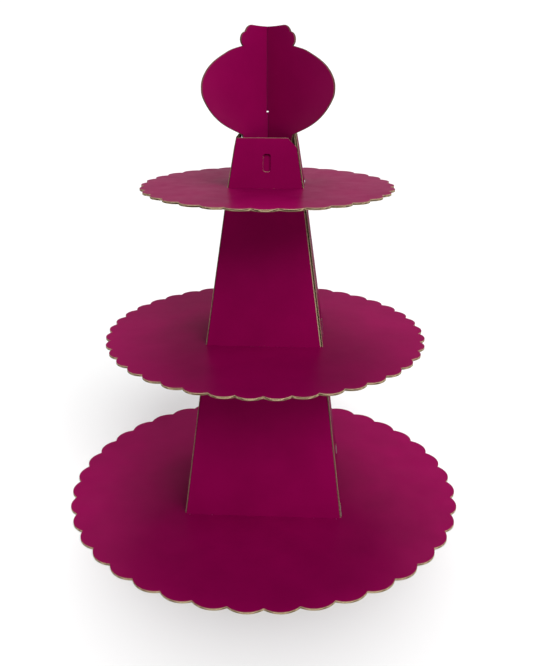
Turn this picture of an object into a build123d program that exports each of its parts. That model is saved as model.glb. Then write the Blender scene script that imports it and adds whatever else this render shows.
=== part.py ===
from build123d import *

from dataclasses import dataclass
import math
import os

# Tiered cake stand of thin corrugated board, taken apart by lifting its pieces off one another.
# Millimetres, +Z up, origin at the centre of the bottom plate's underside. The front is towards -Y.

# Board: a fluted middle layer between two flat paper liners.
BOARD = 1.5
LINER = 0.2
CORE_NEAR = LINER
CORE_FAR = BOARD - LINER

# Heights of the plates' middle planes, and the tower's half-width where its outer face crosses each.
BOTTOM_LEVEL = BOARD / 2
MIDDLE_LEVEL = 129.45
TOP_LEVEL = 237.05
CAP_RIM = 270.1
BOTTOM_HALF = 57.9
MIDDLE_HALF = 41.2
TOP_HALF = 25.8
RIM_HALF = 20.3

# The square tower stands a little behind and to the right of the plates' centre, turned a little.
TOWER_X = 2.5
TOWER_Y = 9.7
TOWER_TURN = -3.1

# Slots in the plates, and the tabs that stand in them.
SLOT_WIDTH = BOARD + 1.0
TAB_GAP = 0.5
BASE_SLOT_START = 37.5
BASE_SLOT_END = 54.5
MIDDLE_SLOT_HALF = 20.0
TOP_SLOT_HALF = 19.5
UPPER_TAB_HALF = 9.0

# Each column folds on its inner liner. The front and back walls lap over the side walls' cut edges,
# but the middle column's front wall stops short on its right, and leaves the inner liner bare.
FOLD_LAP = 0.5
FOLD_BARE = 0.5

# Glue flap that closes each column, folded in behind the next wall.
FLAP_END_GAP = 2.0
FLAP_BEVEL = 2.0
COLUMN_FLAP = 14.0
CAP_FLAP = 30.0
CAP_FLAP_DROP = 8.0

# Cap: one cut-off upper corner on each wall, and one upright slot in the front wall.
CAP_CHAMFER_WIDTH = 4.6
CAP_CHAMFER_HEIGHT = 5.9
CAP_SLOT_WIDTH = 5.0
CAP_SLOT_HEIGHT = 11.6
CAP_SLOT_CORNER = 1.5
CAP_SLOT_X = 0.75
CAP_SLOT_LEVEL = 254.25

# Topper: two crossed boards of one outline, at 45 degrees to the front. Each stands on the cap's
# rim by its shoulders, with its stem inside the cap.
TOPPER_X = 2.6
TOPPER_Y = 9.7
STEM_HALF = 23.0
STEM_FOOT = 240.8
NECK_HALF = 23.6
NECK_LEVEL = 271.9
NECK_SLOPE = 0.42
WING_HALF = 58.3
WING_LEVEL = 302.25
WING_RISE = 26.9
WING_UNDERSIDE = ((39.0, 278.65), (51.0, 287.75), (57.4, 297.0))
CROWN_NECK_HALF = 22.6
CROWN_BUMP = (24.5, 331.65)
CROWN_VALLEY = (20.5, 335.55)
CROWN_UPPER_BUMP = (18.6, 338.15)
CROWN_TIP = (15.2, 339.65)
CROWN_DIP_LEVEL = 338.85
SLIT_WIDTH = BOARD + 1.8
SLIT_LEVEL = 285.45
SLIT_OVERLAP = 1.0

# Half the length of the cutting prisms and slabs, more than the widest wall.
REACH = 80.0


@dataclass(frozen=True)
class Plate:
    """A round plate with an outward-scalloped rim, lying flat."""

    name: str
    lobes: int
    cusp_radius: float
    crest_radius: float
    first_cusp: float
    centre_x: float
    level: float
    tower_half: float
    slots: tuple


@dataclass(frozen=True)
class Column:
    """A four-sided tapering column of one folded board, between two levels."""

    name: str
    foot_level: float
    head_level: float
    foot_half: float
    head_half: float
    foot: float
    head: float
    foot_tabs: tuple
    head_tabs: tuple
    flap_width: float
    flap_drop: float
    flap_side: int


BASE_SLOTS = ((-BASE_SLOT_END, -BASE_SLOT_START), (BASE_SLOT_START, BASE_SLOT_END))
MIDDLE_SLOTS = ((-MIDDLE_SLOT_HALF, MIDDLE_SLOT_HALF),)
TOP_SLOTS = ((-TOP_SLOT_HALF, TOP_SLOT_HALF),)
UPPER_TABS = ((-UPPER_TAB_HALF, UPPER_TAB_HALF),)
FRONT, RIGHT, BACK, LEFT = range(4)
SIDES = {"front": FRONT, "right": RIGHT, "back": BACK, "left": LEFT}


def tabs_beside(slot_half):
    """The two foot tabs that share a slot with the head tab of the column below."""
    near = UPPER_TAB_HALF + TAB_GAP
    far = slot_half - TAB_GAP
    return ((-far, -near), (near, far))


def tabs_inside(slots):
    """One tab in each slot, a gap shorter at both ends."""
    return tuple((start + TAB_GAP, end - TAB_GAP) for start, end in slots)


PLATES = (
    Plate("bottom_plate", 40, 146.0, 150.0, -18.05, 0.0, BOTTOM_LEVEL, BOTTOM_HALF, BASE_SLOTS),
    Plate("middle_plate", 41, 112.4, 116.0, -11.72, 1.1, MIDDLE_LEVEL, MIDDLE_HALF, MIDDLE_SLOTS),
    Plate("top_plate", 32, 83.7, 87.1, -29.4, 2.4, TOP_LEVEL, TOP_HALF, TOP_SLOTS),
)

COLUMNS = (
    Column(
        "bottom_column", BOTTOM_LEVEL, MIDDLE_LEVEL, BOTTOM_HALF, MIDDLE_HALF,
        BOTTOM_LEVEL + BOARD / 2, MIDDLE_LEVEL - BOARD / 2,
        tabs_inside(BASE_SLOTS), UPPER_TABS, COLUMN_FLAP, FLAP_END_GAP, LEFT,
    ),
    Column(
        "middle_column", MIDDLE_LEVEL, TOP_LEVEL, MIDDLE_HALF, TOP_HALF,
        MIDDLE_LEVEL + BOARD / 2, TOP_LEVEL - BOARD / 2,
        tabs_beside(MIDDLE_SLOT_HALF), UPPER_TABS, COLUMN_FLAP, FLAP_END_GAP, LEFT,
    ),
    Column(
        "cap", TOP_LEVEL, CAP_RIM, TOP_HALF, RIM_HALF,
        TOP_LEVEL + BOARD / 2, CAP_RIM,
        tabs_beside(TOP_SLOT_HALF), (), CAP_FLAP, CAP_FLAP_DROP, FRONT,
    ),
)


def save(name, shape):
    """Write one node: the shape must be a single closed solid."""
    solids = shape.solids()
    if len(solids) != 1:
        raise ValueError(f"{name} came out as {len(solids)} solids")
    export_step(solids[0], f"parts/{name}.step")


def on_tower(shape):
    """Bring a shape from the tower's own frame to the stand's frame."""
    return Pos(TOWER_X, TOWER_Y, 0) * Rot(0, 0, TOWER_TURN) * shape


def on_side(shape, side):
    """Turn a shape made for the front wall round to another side of the tower."""
    return Rot(0, 0, 90 * side) * shape


# Plates

def around(radius, angle):
    """A point of the plate's rim, by radius and by angle in degrees."""
    return (radius * math.cos(math.radians(angle)), radius * math.sin(math.radians(angle)))


def scalloped_face(plate):
    """The rim is one outward arc for each lobe, from cusp to cusp."""
    step = 360 / plate.lobes
    arcs = []
    for lobe in range(plate.lobes):
        start = plate.first_cusp + lobe * step
        arcs.append(ThreePointArc(
            around(plate.cusp_radius, start),
            around(plate.crest_radius, start + step / 2),
            around(plate.cusp_radius, start + step),
        ))
    return Pos(plate.centre_x, 0) * make_face(arcs)


def slot_faces(plate):
    """The slots that the tower's walls stand over, the same on all four sides."""
    faces = []
    for side in SIDES.values():
        for start, end in plate.slots:
            slot = Pos((start + end) / 2, BOARD / 2 - plate.tower_half) * Rectangle(end - start, SLOT_WIDTH)
            faces.append(on_tower(on_side(slot, side)))
    return faces


def make_plate(plate):
    """A plate's three layers of board: bottom liner, fluted core and top liner."""
    outline = scalloped_face(plate)
    for slot in slot_faces(plate):
        outline -= slot
    underside = plate.level - BOARD / 2
    layers = {
        "bottom_face": (0, CORE_NEAR),
        "core": (CORE_NEAR, CORE_FAR),
        "top_face": (CORE_FAR, BOARD),
    }
    for layer, (low, high) in layers.items():
        save(f"{plate.name}_{layer}", extrude(Pos(0, 0, underside + low) * outline, amount=high - low))


# Columns and cap

def half_width(column, level):
    """Half the column's outer width at a height."""
    share = (level - column.foot_level) / (column.head_level - column.foot_level)
    return column.foot_half + share * (column.head_half - column.foot_half)


def hexahedron(lower, upper):
    """A solid with four corners below and four above, in the same order."""
    rings = [lower, upper]
    for corner in range(4):
        following = (corner + 1) % 4
        rings.append([lower[corner], lower[following], upper[following], upper[corner]])
    faces = [Face(Wire.make_polygon([Vector(*point) for point in ring], close=True)) for ring in rings]
    return Solid(Shell(faces))


def wall_slab(column, near, far):
    """A leaning slab in the front wall, between two depths behind the wall's outer face."""
    rings = []
    for level in (column.foot - BOARD, column.head + BOARD):
        outer = -half_width(column, level)
        rings.append([
            (-REACH, outer + near, level), (REACH, outer + near, level),
            (REACH, outer + far, level), (-REACH, outer + far, level),
        ])
    return hexahedron(*rings)


def tab_faces(tabs, level):
    """Tabs on the front wall's outline, as far up and down from a level as the board is thick."""
    return [Pos((start + end) / 2, level) * Rectangle(end - start, 2 * BOARD) for start, end in tabs]


def fold_half(column, level):
    """Half the width of a wall between its two folds, where the inner liner is the hinge."""
    return half_width(column, level) - CORE_FAR


def wall_outline(column, side, left_lap, right_lap):
    """A wall's outline as (across, height), with its tabs. It goes past its folds by its laps."""
    foot_half = fold_half(column, column.foot)
    head_half = fold_half(column, column.head)
    points = [(-foot_half - left_lap, column.foot), (foot_half + right_lap, column.foot)]
    if column.name == "cap":
        chamfer_foot = column.head - CAP_CHAMFER_HEIGHT
        points.append((fold_half(column, chamfer_foot) + right_lap, chamfer_foot))
        points.append((head_half - CAP_CHAMFER_WIDTH, column.head))
    else:
        points.append((head_half + right_lap, column.head))
    points.append((-head_half - left_lap, column.head))
    outline = make_face(Polyline(*points, close=True))
    for tab in tab_faces(column.foot_tabs, column.foot) + tab_faces(column.head_tabs, column.head):
        outline += tab
    if column.name == "cap" and side == FRONT:
        slot = RectangleRounded(CAP_SLOT_WIDTH, CAP_SLOT_HEIGHT, CAP_SLOT_CORNER)
        outline -= Pos(CAP_SLOT_X, CAP_SLOT_LEVEL) * slot
    return outline


def laps(column, side):
    """How far a wall's outer layers go past its left and right folds."""
    if side not in (FRONT, BACK):
        return 0, 0
    if column.name == "middle_column" and side == FRONT:
        return FOLD_LAP, -FOLD_BARE
    return FOLD_LAP, FOLD_LAP


def wall_layer(column, outline, near, far):
    """The part of the front wall inside an outline, between two depths."""
    prism = extrude(Plane.XZ * outline, amount=REACH, both=True)
    return wall_slab(column, near, far) & prism


def flap_outline(column):
    """The glue flap's outline, from the fold at the wall's left end, with bevelled ends."""
    low = column.foot + FLAP_END_GAP
    high = column.head - column.flap_drop
    low_fold = BOARD - half_width(column, low)
    high_fold = BOARD - half_width(column, high)
    return make_face(Polyline(
        (low_fold, low),
        (low_fold + column.flap_width, low + FLAP_BEVEL),
        (high_fold + column.flap_width, high - FLAP_BEVEL),
        (high_fold, high),
        close=True,
    ))


def make_column(column):
    """A column: four walls cut through to the inner liner at their folds, and one glue flap."""
    backing = None
    for side_name, side in SIDES.items():
        outer_outline = wall_outline(column, side, *laps(column, side))
        inner_outline = wall_outline(column, side, 0, 0)
        face = on_side(wall_layer(column, outer_outline, 0, CORE_NEAR), side)
        core = on_side(wall_layer(column, outer_outline, CORE_NEAR, CORE_FAR), side)
        inner = on_side(wall_layer(column, inner_outline, CORE_FAR, BOARD), side)
        save(f"{column.name}_{side_name}_face", on_tower(face))
        save(f"{column.name}_{side_name}_core", on_tower(core))
        backing = inner if backing is None else backing + inner
    save(f"{column.name}_backing", on_tower(backing))

    outline = flap_outline(column)
    layers = {
        "flap_face": (0, CORE_NEAR),
        "flap_core": (CORE_NEAR, CORE_FAR),
        "flap_backing": (CORE_FAR, BOARD),
    }
    for layer, (near, far) in layers.items():
        flap = wall_layer(column, outline, BOARD + near, BOARD + far)
        save(f"{column.name}_{layer}", on_tower(on_side(flap, column.flap_side)))


# Topper

def topper_half(way):
    """One half of the topper's outline, from the stem's foot to the crown's tip. way is 1 or -1."""
    def at(point):
        return (way * point[0], point[1])

    crown_neck_angle = math.acos(CROWN_NECK_HALF / WING_HALF)
    crown_neck = (CROWN_NECK_HALF, WING_LEVEL + WING_RISE * math.sin(crown_neck_angle))
    wing_tip = (WING_HALF, WING_LEVEL)
    shoulder = [(STEM_HALF, STEM_FOOT), (STEM_HALF, CAP_RIM), (NECK_HALF, CAP_RIM), (NECK_HALF, NECK_LEVEL)]
    wing_under = [(NECK_HALF, NECK_LEVEL), *WING_UNDERSIDE, wing_tip]
    wing_over = [
        (
            WING_HALF * math.cos(quarter / 4 * crown_neck_angle),
            WING_LEVEL + WING_RISE * math.sin(quarter / 4 * crown_neck_angle),
        )
        for quarter in range(5)
    ]
    over_end = (-WING_HALF * math.sin(crown_neck_angle), WING_RISE * math.cos(crown_neck_angle))
    return [
        Polyline(*[at(point) for point in shoulder]),
        Spline(*[at(point) for point in wing_under], tangents=[at((1, NECK_SLOPE)), (0, 1)]),
        Spline(*[at(point) for point in wing_over], tangents=[(0, 1), at(over_end)]),
        ThreePointArc(at(crown_neck), at(CROWN_BUMP), at(CROWN_VALLEY)),
        ThreePointArc(at(CROWN_VALLEY), at(CROWN_UPPER_BUMP), at(CROWN_TIP)),
    ]


def topper_face():
    """The whole outline of one topper board, before its slit."""
    tip_x, tip_z = CROWN_TIP
    dip = ThreePointArc((-tip_x, tip_z), (0, CROWN_DIP_LEVEL), (tip_x, tip_z))
    foot = Line((-STEM_HALF, STEM_FOOT), (STEM_HALF, STEM_FOOT))
    return make_face(topper_half(1) + topper_half(-1) + [dip, foot])


def make_topper_board(name, turn, slit_low, slit_high):
    """One topper board: a slit halves it, so that the other board drops across it."""
    slit = Pos(0, (slit_low + slit_high) / 2) * Rectangle(SLIT_WIDTH, slit_high - slit_low)
    outline = Plane.XZ * (topper_face() - slit)
    layers = {
        "front_face": (CORE_FAR, BOARD),
        "core": (CORE_NEAR, CORE_FAR),
        "back_face": (0, CORE_NEAR),
    }
    place = Pos(TOPPER_X, TOPPER_Y, 0) * Rot(0, 0, turn)
    for layer, (near, far) in layers.items():
        board = Pos(0, BOARD / 2 - near, 0) * extrude(outline, amount=far - near)
        save(f"{name}_{layer}", place * board)


os.makedirs("parts", exist_ok=True)
for plate in PLATES:
    make_plate(plate)
for column in COLUMNS:
    make_column(column)
# The first board has its slit from the top; the second, slit from below, drops onto it last.
make_topper_board("topper_first_board", 45, SLIT_LEVEL - SLIT_OVERLAP / 2, CROWN_TIP[1] + BOARD)
make_topper_board("topper_second_board", -45, STEM_FOOT - BOARD, SLIT_LEVEL + SLIT_OVERLAP / 2)
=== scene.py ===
import math

import bmesh
import bpy
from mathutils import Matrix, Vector


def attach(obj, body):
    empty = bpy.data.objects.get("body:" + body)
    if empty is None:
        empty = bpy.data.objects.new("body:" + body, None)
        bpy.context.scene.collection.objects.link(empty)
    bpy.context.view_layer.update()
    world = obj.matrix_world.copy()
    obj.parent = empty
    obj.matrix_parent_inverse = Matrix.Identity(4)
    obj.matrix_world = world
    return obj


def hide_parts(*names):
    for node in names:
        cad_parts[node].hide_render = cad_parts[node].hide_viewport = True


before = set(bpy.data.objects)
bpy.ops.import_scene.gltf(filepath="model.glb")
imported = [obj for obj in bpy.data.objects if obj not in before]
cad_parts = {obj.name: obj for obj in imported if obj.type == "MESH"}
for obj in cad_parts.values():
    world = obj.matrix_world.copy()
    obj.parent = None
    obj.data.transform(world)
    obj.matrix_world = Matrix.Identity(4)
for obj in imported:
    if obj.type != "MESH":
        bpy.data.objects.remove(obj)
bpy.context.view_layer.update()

# Looks of a tiered cake stand of magenta film-laminated corrugated board with raw kraft edges.
# Metres, +Z up, front towards -Y. Each board is one printed or kraft liner on each side of a
# fluted middle layer. The liners are the CAD nodes; the middle layers are built here.

PLATES = ("bottom_plate", "middle_plate", "top_plate")
COLUMNS = ("bottom_column", "middle_column", "cap")
TOPPER_TURNS = {"topper_first_board": 45.0, "topper_second_board": -45.0}
SIDE_TURNS = {"front": 0.0, "right": 90.0, "back": 180.0, "left": 270.0}
FLAP_SIDES = {"bottom_column": "left", "middle_column": "left", "cap": "front"}
TOWER_TURN = -3.1

# The fluted middle layer: a wave of thin paper that fills the core's thickness.
FLUTE_PITCH = 0.0032
CORE_THICKNESS = 0.0011
MEDIUM_THICKNESS = 0.00016
WAVE_CLEARANCE = 0.00001
WAVE_STEPS = 10
WELD = 0.000002
CREASE_ANGLE = math.radians(35)

# A board whose level direction is shorter than this lies flat.
FLAT_LIMIT = 0.01

# Colours, linear.
KRAFT = (0.50, 0.36, 0.21)
KRAFT_DARK = (0.33, 0.22, 0.12)
# INSIDE and INSIDE_DARK are kraft painted dark, as shade inside the columns.
INSIDE = (0.11, 0.07, 0.04)
INSIDE_DARK = (0.06, 0.04, 0.02)
RAW_EDGE = (0.62, 0.50, 0.31)
# MEDIUM and MEDIUM_DARK are kraft painted darker as shade: in the hollows of the flutes, and on the
# plates' lower cut edges.
MEDIUM = (0.30, 0.21, 0.12)
MEDIUM_DARK = (0.20, 0.14, 0.08)

# Cut edges of the printed liners, dark and light: clean; darker below the plates, as painted shade;
# and crushed.
CLEAN_EDGE = (KRAFT, RAW_EDGE)
SHADED_LOWER_EDGE = (MEDIUM_DARK, MEDIUM)
CRUSHED_EDGE = ((0.15, 0.05, 0.05), (0.26, 0.12, 0.09))

# The printed film on each kind of board: two close tones of magenta, roughness range and gloss. It is
# one and the same print on every board; its magenta differs between the kinds only as painted light
# and shade: darker on the level plates, lighter on the upright walls and lightest on the topper.
PLATE_FILM = {
    "deep": (0.200, 0.0005, 0.055),
    "bright": (0.220, 0.0007, 0.061),
    "roughness": (0.30, 0.38),
    "gloss": 0.043,
}
WALL_FILM = {
    "deep": (0.232, 0.0006, 0.063),
    "bright": (0.255, 0.0008, 0.070),
    "roughness": (0.50, 0.60),
    "gloss": 0.012,
}
TOPPER_FILM = {
    "deep": (0.245, 0.0010, 0.067),
    "bright": (0.270, 0.0012, 0.074),
    "roughness": (0.30, 0.38),
    "gloss": 0.06,
}
FLOOR = (0.80, 0.80, 0.80)
FLOOR_FRONT = (0.26, 0.26, 0.26)

# The floor is grey up to the first Y, and white from the second.
FLOOR_FADE = (-1.5, -0.40)
FLOOR_HALF = 40.0
FLOOR_ROUGHNESS = 0.9

# How closely a surface must face a way to carry film there, or to count as the outer side of a leaning
# wall's kraft liner, which shows plain kraft where the rest of that liner is painted shade.
PRINT_MATCH = 0.8
UPWARD_MATCH = 0.05

# Noise scales, in blotches, ripples or fibres to the metre.
MOTTLE_SCALE = 38
GLOSS_SCALE = 90
WAVINESS_SCALE = 55
EDGE_FIBRE_SCALE = 2600
GRAIN_SCALE = 3800
KRAFT_FIBRE_SCALE = 1400
FLECK_SCALE = 900

# The part of a noise's range that a spread uses.
NOISE_RANGE = (0.3, 0.7)

EDGE_ROUGHNESS = 0.85
KRAFT_ROUGHNESS = (0.82, 0.94)
FILM_IOR = 1.47
FLECK_TINT = (0.72, 0.66, 0.60)

# Strength of the room's light at the horizon behind and in front, and overhead.
HORIZON_LIGHT = 1.1
FRONT_LIGHT = 0.35
ROOM_LIGHT = 0.15

# Where the horizon's light ends upward, and where its front gives way to its back.
HORIZON_FADE = (0.07, 0.17)
BEHIND_FADE = (-0.2, 0.5)

# Each lamp: the way its light comes from, its spread in degrees and its strength.
OVERHEAD = ((0.02, 0.52, 1.0), 35, 2.3)
FRONT_FILL = ((0.34, -0.80, 0.92), 45, 2.6)

CAMERA_PLACE = (-0.0008, -0.518, 0.32375)
CAMERA_DIP = 20.70
CAMERA_LENS = 40.38
CAMERA_SENSOR = 36
CAMERA_SHIFT = (0.00586, 0.00075)
CAMERA_CLIP = 0.01


# Materials

class Shader:
    """A new material with short calls for adding and linking its nodes."""

    def __init__(self, name):
        self.material = bpy.data.materials.new(name)
        self.material.use_nodes = True
        self.tree = self.material.node_tree
        self.surface = self.tree.nodes["Principled BSDF"]

    def node(self, kind, **values):
        """Adds a node. A value that isn't one of its properties is set on the input of that name."""
        made = self.tree.nodes.new(kind)
        for key, value in values.items():
            if hasattr(made, key):
                setattr(made, key, value)
            else:
                made.inputs[key.replace("_", " ")].default_value = value
        return made

    def link(self, output, target):
        self.tree.links.new(output, target)

    def noise(self, scale, detail, roughness=0.5):
        """Solid noise in the object's own metres."""
        where = self.node("ShaderNodeTexCoord")
        noise = self.node("ShaderNodeTexNoise", Scale=scale, Detail=detail, Roughness=roughness)
        self.link(where.outputs["Object"], noise.inputs["Vector"])
        return noise.outputs["Fac"]

    def stretched_noise(self, scale, stretch, detail):
        """Noise drawn out along one axis, for paper fibres."""
        where = self.node("ShaderNodeTexCoord")
        mapping = self.node("ShaderNodeMapping")
        mapping.inputs["Scale"].default_value = stretch
        noise = self.node("ShaderNodeTexNoise", Scale=scale, Detail=detail)
        self.link(where.outputs["Object"], mapping.inputs["Vector"])
        self.link(mapping.outputs["Vector"], noise.inputs["Vector"])
        return noise.outputs["Fac"]

    def ramp(self, factor, low, high, low_color, high_color):
        """A colour between two, over a stretch of a factor."""
        ramp = self.node("ShaderNodeValToRGB")
        ramp.color_ramp.elements[0].position = low
        ramp.color_ramp.elements[0].color = (*low_color, 1)
        ramp.color_ramp.elements[1].position = high
        ramp.color_ramp.elements[1].color = (*high_color, 1)
        self.link(factor, ramp.inputs["Fac"])
        return ramp.outputs["Color"]

    def mix(self, factor, first, second):
        """Two colours mixed by a factor."""
        mix = self.node("ShaderNodeMix", data_type="RGBA")
        self.link(factor, mix.inputs["Factor"])
        self.link(first, mix.inputs[6])
        self.link(second, mix.inputs[7])
        return mix.outputs[2]

    def spread(self, factor, low, high):
        """A factor from 0 to 1 turned into a number from low to high."""
        start, end = NOISE_RANGE
        spread = self.node(
            "ShaderNodeMapRange", From_Min=start, From_Max=end, To_Min=low, To_Max=high
        )
        self.link(factor, spread.inputs["Value"])
        return spread.outputs["Result"]

    def bump(self, height, distance, strength, under=None):
        """A bump from a height, on top of an earlier bump."""
        bump = self.node("ShaderNodeBump", Distance=distance, Strength=strength)
        self.link(height, bump.inputs["Height"])
        if under is not None:
            self.link(under, bump.inputs["Normal"])
        return bump.outputs["Normal"]

    def facing(self, direction, threshold):
        """1 where the surface faces a direction, 0 elsewhere. A higher threshold is a closer match."""
        geometry = self.node("ShaderNodeNewGeometry")
        dot = self.node("ShaderNodeVectorMath", operation="DOT_PRODUCT")
        self.link(geometry.outputs["True Normal"], dot.inputs[0])
        dot.inputs[1].default_value = direction
        over = self.node("ShaderNodeMath", operation="GREATER_THAN")
        self.link(dot.outputs["Value"], over.inputs[0])
        over.inputs[1].default_value = threshold
        return over.outputs[0]


def printed_material(name, direction, film, edge):
    """Satin magenta film on the side that faces one way, raw paper on the cut edges.

    film is one of the films above, and edge the dark and the light colour of the cut edges.
    """
    shader = Shader(name)
    printed = shader.facing(direction, PRINT_MATCH)
    mottle = shader.noise(MOTTLE_SCALE, 3)
    magenta = shader.ramp(mottle, 0.35, 0.68, film["deep"], film["bright"])
    fibre = shader.noise(EDGE_FIBRE_SCALE, 4, 0.7)
    paper = shader.ramp(fibre, 0.35, 0.65, *edge)
    shader.link(shader.mix(printed, paper, magenta), shader.surface.inputs["Base Color"])

    film_roughness = shader.spread(shader.noise(GLOSS_SCALE, 4), *film["roughness"])
    rough = shader.node("ShaderNodeMix", data_type="FLOAT")
    shader.link(printed, rough.inputs["Factor"])
    rough.inputs[2].default_value = EDGE_ROUGHNESS
    shader.link(film_roughness, rough.inputs[3])
    shader.link(rough.outputs[0], shader.surface.inputs["Roughness"])

    grain = shader.bump(shader.noise(GRAIN_SCALE, 3), 0.00002, 0.35)
    waviness = shader.bump(shader.noise(WAVINESS_SCALE, 2), 0.0006, 0.12, grain)
    shader.link(waviness, shader.surface.inputs["Normal"])
    shader.surface.inputs["IOR"].default_value = FILM_IOR
    shader.surface.inputs["Specular IOR Level"].default_value = film["gloss"]
    return shader.material


def kraft_material(name, dark, light, fibre_axis=(1, 1, 1), painted_shade_inside=False):
    """Raw kraft paper: brown, matt, with fibres drawn out one way and a few darker flecks.

    With the flag set, the dark and light colours given are painted shade, and only the outer side,
    which leans back and so faces a little upward, shows the paler plain kraft.
    """
    shader = Shader(name)
    fibres = shader.stretched_noise(KRAFT_FIBRE_SCALE, fibre_axis, 5)
    ground = shader.ramp(fibres, 0.32, 0.68, dark, light)
    if painted_shade_inside:
        pale = shader.ramp(fibres, 0.32, 0.68, KRAFT, RAW_EDGE)
        ground = shader.mix(shader.facing((0, 0, 1), UPWARD_MATCH), ground, pale)
    flecks = shader.ramp(shader.noise(FLECK_SCALE, 2), 0.66, 0.74, (1, 1, 1), FLECK_TINT)
    tint = shader.node("ShaderNodeMix", data_type="RGBA", blend_type="MULTIPLY")
    tint.inputs["Factor"].default_value = 1
    shader.link(ground, tint.inputs[6])
    shader.link(flecks, tint.inputs[7])
    shader.link(tint.outputs[2], shader.surface.inputs["Base Color"])
    shader.link(shader.spread(fibres, *KRAFT_ROUGHNESS), shader.surface.inputs["Roughness"])
    shader.link(shader.bump(fibres, 0.00003, 0.5), shader.surface.inputs["Normal"])
    return shader.material


def stage_material(name):
    """A plain matt floor, white round the stand and behind it, and greyer far in front of it."""
    shader = Shader(name)
    where = shader.node("ShaderNodeTexCoord")
    parts = shader.node("ShaderNodeSeparateXYZ")
    shader.link(where.outputs["Object"], parts.inputs[0])
    fade = shader.node("ShaderNodeMapRange", interpolation_type="SMOOTHSTEP")
    fade.inputs["From Min"].default_value = FLOOR_FADE[0]
    fade.inputs["From Max"].default_value = FLOOR_FADE[1]
    shader.link(parts.outputs["Y"], fade.inputs["Value"])
    color = shader.ramp(fade.outputs["Result"], 0, 1, FLOOR_FRONT, FLOOR)
    shader.link(color, shader.surface.inputs["Base Color"])
    shader.surface.inputs["Roughness"].default_value = FLOOR_ROUGHNESS
    shader.surface.inputs["Specular IOR Level"].default_value = 0
    return shader.material


def outward(turn):
    """The level direction that a wall turned by so many degrees faces."""
    angle = math.radians(turn)
    return (math.sin(angle), -math.cos(angle), 0.0)


def dress(node, material):
    """Gives a CAD node a material of this scene."""
    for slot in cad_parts[node].material_slots:
        slot.material = material


def dress_liners():
    """The printed and kraft liners keep their CAD shape."""
    up = printed_material("printed_up", (0, 0, 1), PLATE_FILM, CLEAN_EDGE)
    # The cut edges of the plates' lower liners are painted darker, as shade under the rims.
    down = printed_material("printed_down", (0, 0, -1), PLATE_FILM, SHADED_LOWER_EDGE)
    for plate in PLATES:
        dress(f"{plate}_top_face", up)
        dress(f"{plate}_bottom_face", down)
    walls = {
        side: printed_material(f"printed_{side}", outward(turn + TOWER_TURN), WALL_FILM, CLEAN_EDGE)
        for side, turn in SIDE_TURNS.items()
    }
    # The inner side of the column walls is painted dark as shade; only sides that face a little upward
    # keep plain kraft.
    kraft = kraft_material("kraft_liner", INSIDE_DARK, INSIDE, (1, 1, 0.15), painted_shade_inside=True)
    for column in COLUMNS:
        for side, material in walls.items():
            dress(f"{column}_{side}_face", material)
        dress(f"{column}_flap_face", walls[FLAP_SIDES[column]])
        dress(f"{column}_backing", kraft)
        dress(f"{column}_flap_backing", kraft)
    for board, turn in TOPPER_TURNS.items():
        for side, side_turn in (("front", turn), ("back", turn + 180)):
            name = f"{board}_{side}"
            film = printed_material(name, outward(side_turn), TOPPER_FILM, CRUSHED_EDGE)
            dress(f"{name}_face", film)


# Fluted middle layers

def core_copy(node):
    """A welded copy of a CAD core, which the fluted sheet is cut to."""
    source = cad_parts[node].data
    mesh = bpy.data.meshes.new(f"{node}_cutter")
    work = bmesh.new()
    work.from_mesh(source)
    bmesh.ops.remove_doubles(work, verts=work.verts, dist=WELD)
    bmesh.ops.recalc_face_normals(work, faces=work.faces)
    work.to_mesh(mesh)
    work.free()
    cutter = bpy.data.objects.new(mesh.name, mesh)
    bpy.context.scene.collection.objects.link(cutter)
    return cutter


def flute_sheet(name, centre, across, along, normal, width, length):
    """A closed sheet of paper, waved across its width and straight along its length."""
    amplitude = (CORE_THICKNESS - MEDIUM_THICKNESS) / 2 - WAVE_CLEARANCE
    steps = int(width / FLUTE_PITCH) * WAVE_STEPS
    start = -steps / WAVE_STEPS * FLUTE_PITCH / 2
    mesh = bpy.data.meshes.new(name)
    work = bmesh.new()
    rows = []
    for step in range(steps + 1):
        phase = 2 * math.pi * step / WAVE_STEPS
        place = start + step * FLUTE_PITCH / WAVE_STEPS
        slope = amplitude * 2 * math.pi / FLUTE_PITCH * math.cos(phase)
        tilt = math.hypot(1, slope)
        row = []
        for way in (-1, 1):
            half = way * MEDIUM_THICKNESS / 2
            spot = centre + across * (place - half * slope / tilt)
            spot = spot + normal * (amplitude * math.sin(phase) + half / tilt)
            row.append(work.verts.new(spot - along * length / 2))
            row.append(work.verts.new(spot + along * length / 2))
        rows.append(row)
    for near, far in zip(rows, rows[1:]):
        work.faces.new((near[0], near[1], far[1], far[0]))
        work.faces.new((near[2], far[2], far[3], near[3]))
        work.faces.new((near[0], far[0], far[2], near[2]))
        work.faces.new((near[1], near[3], far[3], far[1]))
    for row in (rows[0], rows[-1]):
        work.faces.new((row[0], row[1], row[3], row[2]))
    bmesh.ops.recalc_face_normals(work, faces=work.faces)
    work.to_mesh(mesh)
    work.free()
    sheet = bpy.data.objects.new(name, mesh)
    bpy.context.scene.collection.objects.link(sheet)
    return sheet


def board_axes(node, normal):
    """A board's level, up-slope and face directions, and the core's reach along each of them."""
    def share(face):
        return face.area * max(0, face.normal.dot(normal))

    widest = max(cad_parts[node].data.polygons, key=share)
    flat = widest.normal.normalized()
    across = Vector((0, 0, 1)).cross(flat)
    across = Vector((1, 0, 0)) if across.length < FLAT_LIMIT else across.normalized()
    up = flat.cross(across).normalized()
    spots = [vertex.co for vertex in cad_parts[node].data.vertices]
    spans = []
    for axis in (across, up, flat):
        reach = [spot.dot(axis) for spot in spots]
        spans.append((min(reach), max(reach)))
    return (across, up, flat), spans


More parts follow.
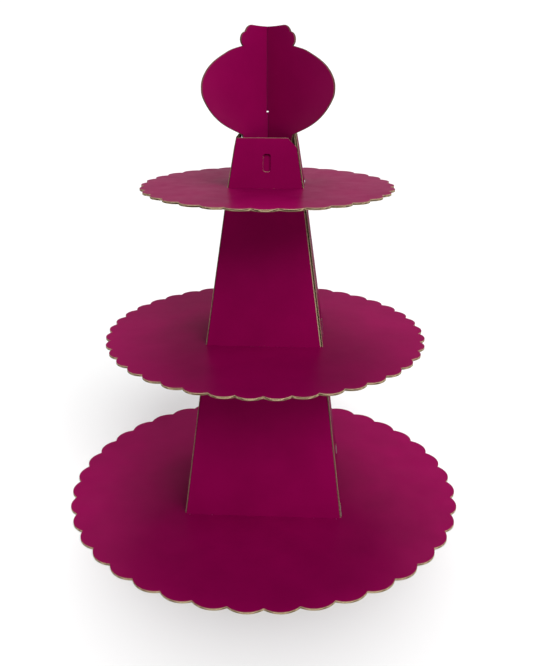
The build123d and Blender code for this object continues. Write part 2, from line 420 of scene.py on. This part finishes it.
def fluted_core(node, body, normal, flutes_upright, material):
    """Replaces a CAD core with a fluted sheet, cut to the core's outline and slots."""
    axes, spans = board_axes(node, Vector(normal))
    across, up, flat = axes
    middles = [(low + high) / 2 for low, high in spans]
    widths = [high - low + 2 * FLUTE_PITCH for low, high in spans]
    centre = across * middles[0] + up * middles[1] + flat * middles[2]
    if flutes_upright:
        sheet = flute_sheet(f"{node}_flutes", centre, across, up, flat, widths[0], widths[1])
    else:
        sheet = flute_sheet(f"{node}_flutes", centre, up, across, flat, widths[1], widths[0])
    cutter = core_copy(node)
    cut = sheet.modifiers.new("cut", "BOOLEAN")
    cut.operation = "INTERSECT"
    cut.solver = "MANIFOLD"
    cut.object = cutter
    bpy.context.view_layer.update()
    cut_sheet = sheet.evaluated_get(bpy.context.evaluated_depsgraph_get())
    made = bpy.data.meshes.new_from_object(cut_sheet)
    sheet.modifiers.clear()
    sheet.data = made
    bpy.data.objects.remove(cutter)
    for face in made.polygons:
        face.use_smooth = True
    made.set_sharp_from_angle(angle=CREASE_ANGLE)
    made.materials.clear()
    made.materials.append(material)
    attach(sheet, body)
    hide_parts(node)
    return sheet


def make_cores():
    """Flutes run left to right in the plates, level round the columns and upright in the topper."""
    rim_medium = kraft_material("rim_medium", KRAFT_DARK, RAW_EDGE)
    # The columns' fluted paper is painted darker, as shade in its hollows.
    shaded_wall_medium = kraft_material("shaded_wall_medium", MEDIUM_DARK, MEDIUM)
    topper_medium = kraft_material("topper_medium", *CRUSHED_EDGE)
    for plate in PLATES:
        fluted_core(f"{plate}_core", plate, (0, 0, 1), False, rim_medium)
    for column in COLUMNS:
        for side, turn in SIDE_TURNS.items():
            facing = outward(turn + TOWER_TURN)
            fluted_core(f"{column}_{side}_core", column, facing, False, shaded_wall_medium)
        turn = SIDE_TURNS[FLAP_SIDES[column]] + TOWER_TURN
        fluted_core(f"{column}_flap_core", column, outward(turn), False, shaded_wall_medium)
    for board, turn in TOPPER_TURNS.items():
        fluted_core(f"{board}_core", board, outward(turn), True, topper_medium)


# Stage, light and camera

def make_stage():
    """A pale floor that runs to the horizon."""
    near = -FLOOR_HALF
    far = FLOOR_HALF
    corners = [(near, near, 0), (far, near, 0), (far, far, 0), (near, far, 0)]
    mesh = bpy.data.meshes.new("studio_floor")
    mesh.from_pydata(corners, [], [(0, 1, 2, 3)])
    floor = bpy.data.objects.new("studio_floor", mesh)
    bpy.context.scene.collection.objects.link(floor)
    mesh.materials.append(stage_material("studio_floor"))


def broad_light(name, direction, spread, strength):
    """Very soft light that comes evenly from one direction over the whole stage."""
    light = bpy.data.lights.new(name, "SUN")
    light.angle = math.radians(spread)
    light.energy = strength
    lamp = bpy.data.objects.new(name, light)
    bpy.context.scene.collection.objects.link(lamp)
    lamp.location = direction
    lamp.rotation_euler = (-Vector(direction)).to_track_quat("-Z", "Y").to_euler()


def make_world():
    """A room that is white at the horizon behind the stand, and dim overhead and in front."""
    world = bpy.data.worlds.new("studio_world")
    world.use_nodes = True
    tree = world.node_tree
    direction = tree.nodes.new("ShaderNodeTexCoord")
    parts = tree.nodes.new("ShaderNodeSeparateXYZ")
    fade = tree.nodes.new("ShaderNodeMapRange")
    fade.interpolation_type = "SMOOTHSTEP"
    fade.inputs["From Min"].default_value = HORIZON_FADE[0]
    fade.inputs["From Max"].default_value = HORIZON_FADE[1]
    fade.inputs["To Max"].default_value = ROOM_LIGHT
    behind = tree.nodes.new("ShaderNodeMapRange")
    behind.interpolation_type = "SMOOTHSTEP"
    behind.inputs["From Min"].default_value = BEHIND_FADE[0]
    behind.inputs["From Max"].default_value = BEHIND_FADE[1]
    behind.inputs["To Min"].default_value = FRONT_LIGHT
    behind.inputs["To Max"].default_value = HORIZON_LIGHT
    tree.links.new(direction.outputs["Generated"], parts.inputs[0])
    tree.links.new(parts.outputs["Y"], behind.inputs["Value"])
    tree.links.new(behind.outputs["Result"], fade.inputs["To Min"])
    tree.links.new(parts.outputs["Z"], fade.inputs["Value"])
    tree.links.new(fade.outputs["Result"], tree.nodes["Background"].inputs["Strength"])
    tree.nodes["Background"].inputs["Color"].default_value = (1, 1, 1, 1)
    bpy.context.scene.world = world
    bpy.context.scene.view_settings.view_transform = "Standard"


def make_light():
    """Soft light from overhead and a little behind, and a fill from the upper right front."""
    broad_light("overhead", *OVERHEAD)
    broad_light("front_fill", *FRONT_FILL)


def make_camera():
    """The camera stands in front, above the middle tier, and looks down at the stand."""
    camera = bpy.data.cameras.new("camera")
    camera.sensor_width = CAMERA_SENSOR
    camera.lens = CAMERA_LENS
    camera.shift_x, camera.shift_y = CAMERA_SHIFT
    camera.clip_start = CAMERA_CLIP
    holder = bpy.data.objects.new("camera", camera)
    bpy.context.scene.collection.objects.link(holder)
    holder.location = CAMERA_PLACE
    holder.rotation_euler = (math.radians(90 - CAMERA_DIP), 0, 0)
    bpy.context.scene.camera = holder


dress_liners()
make_cores()
make_stage()
make_world()
make_light()
make_camera()
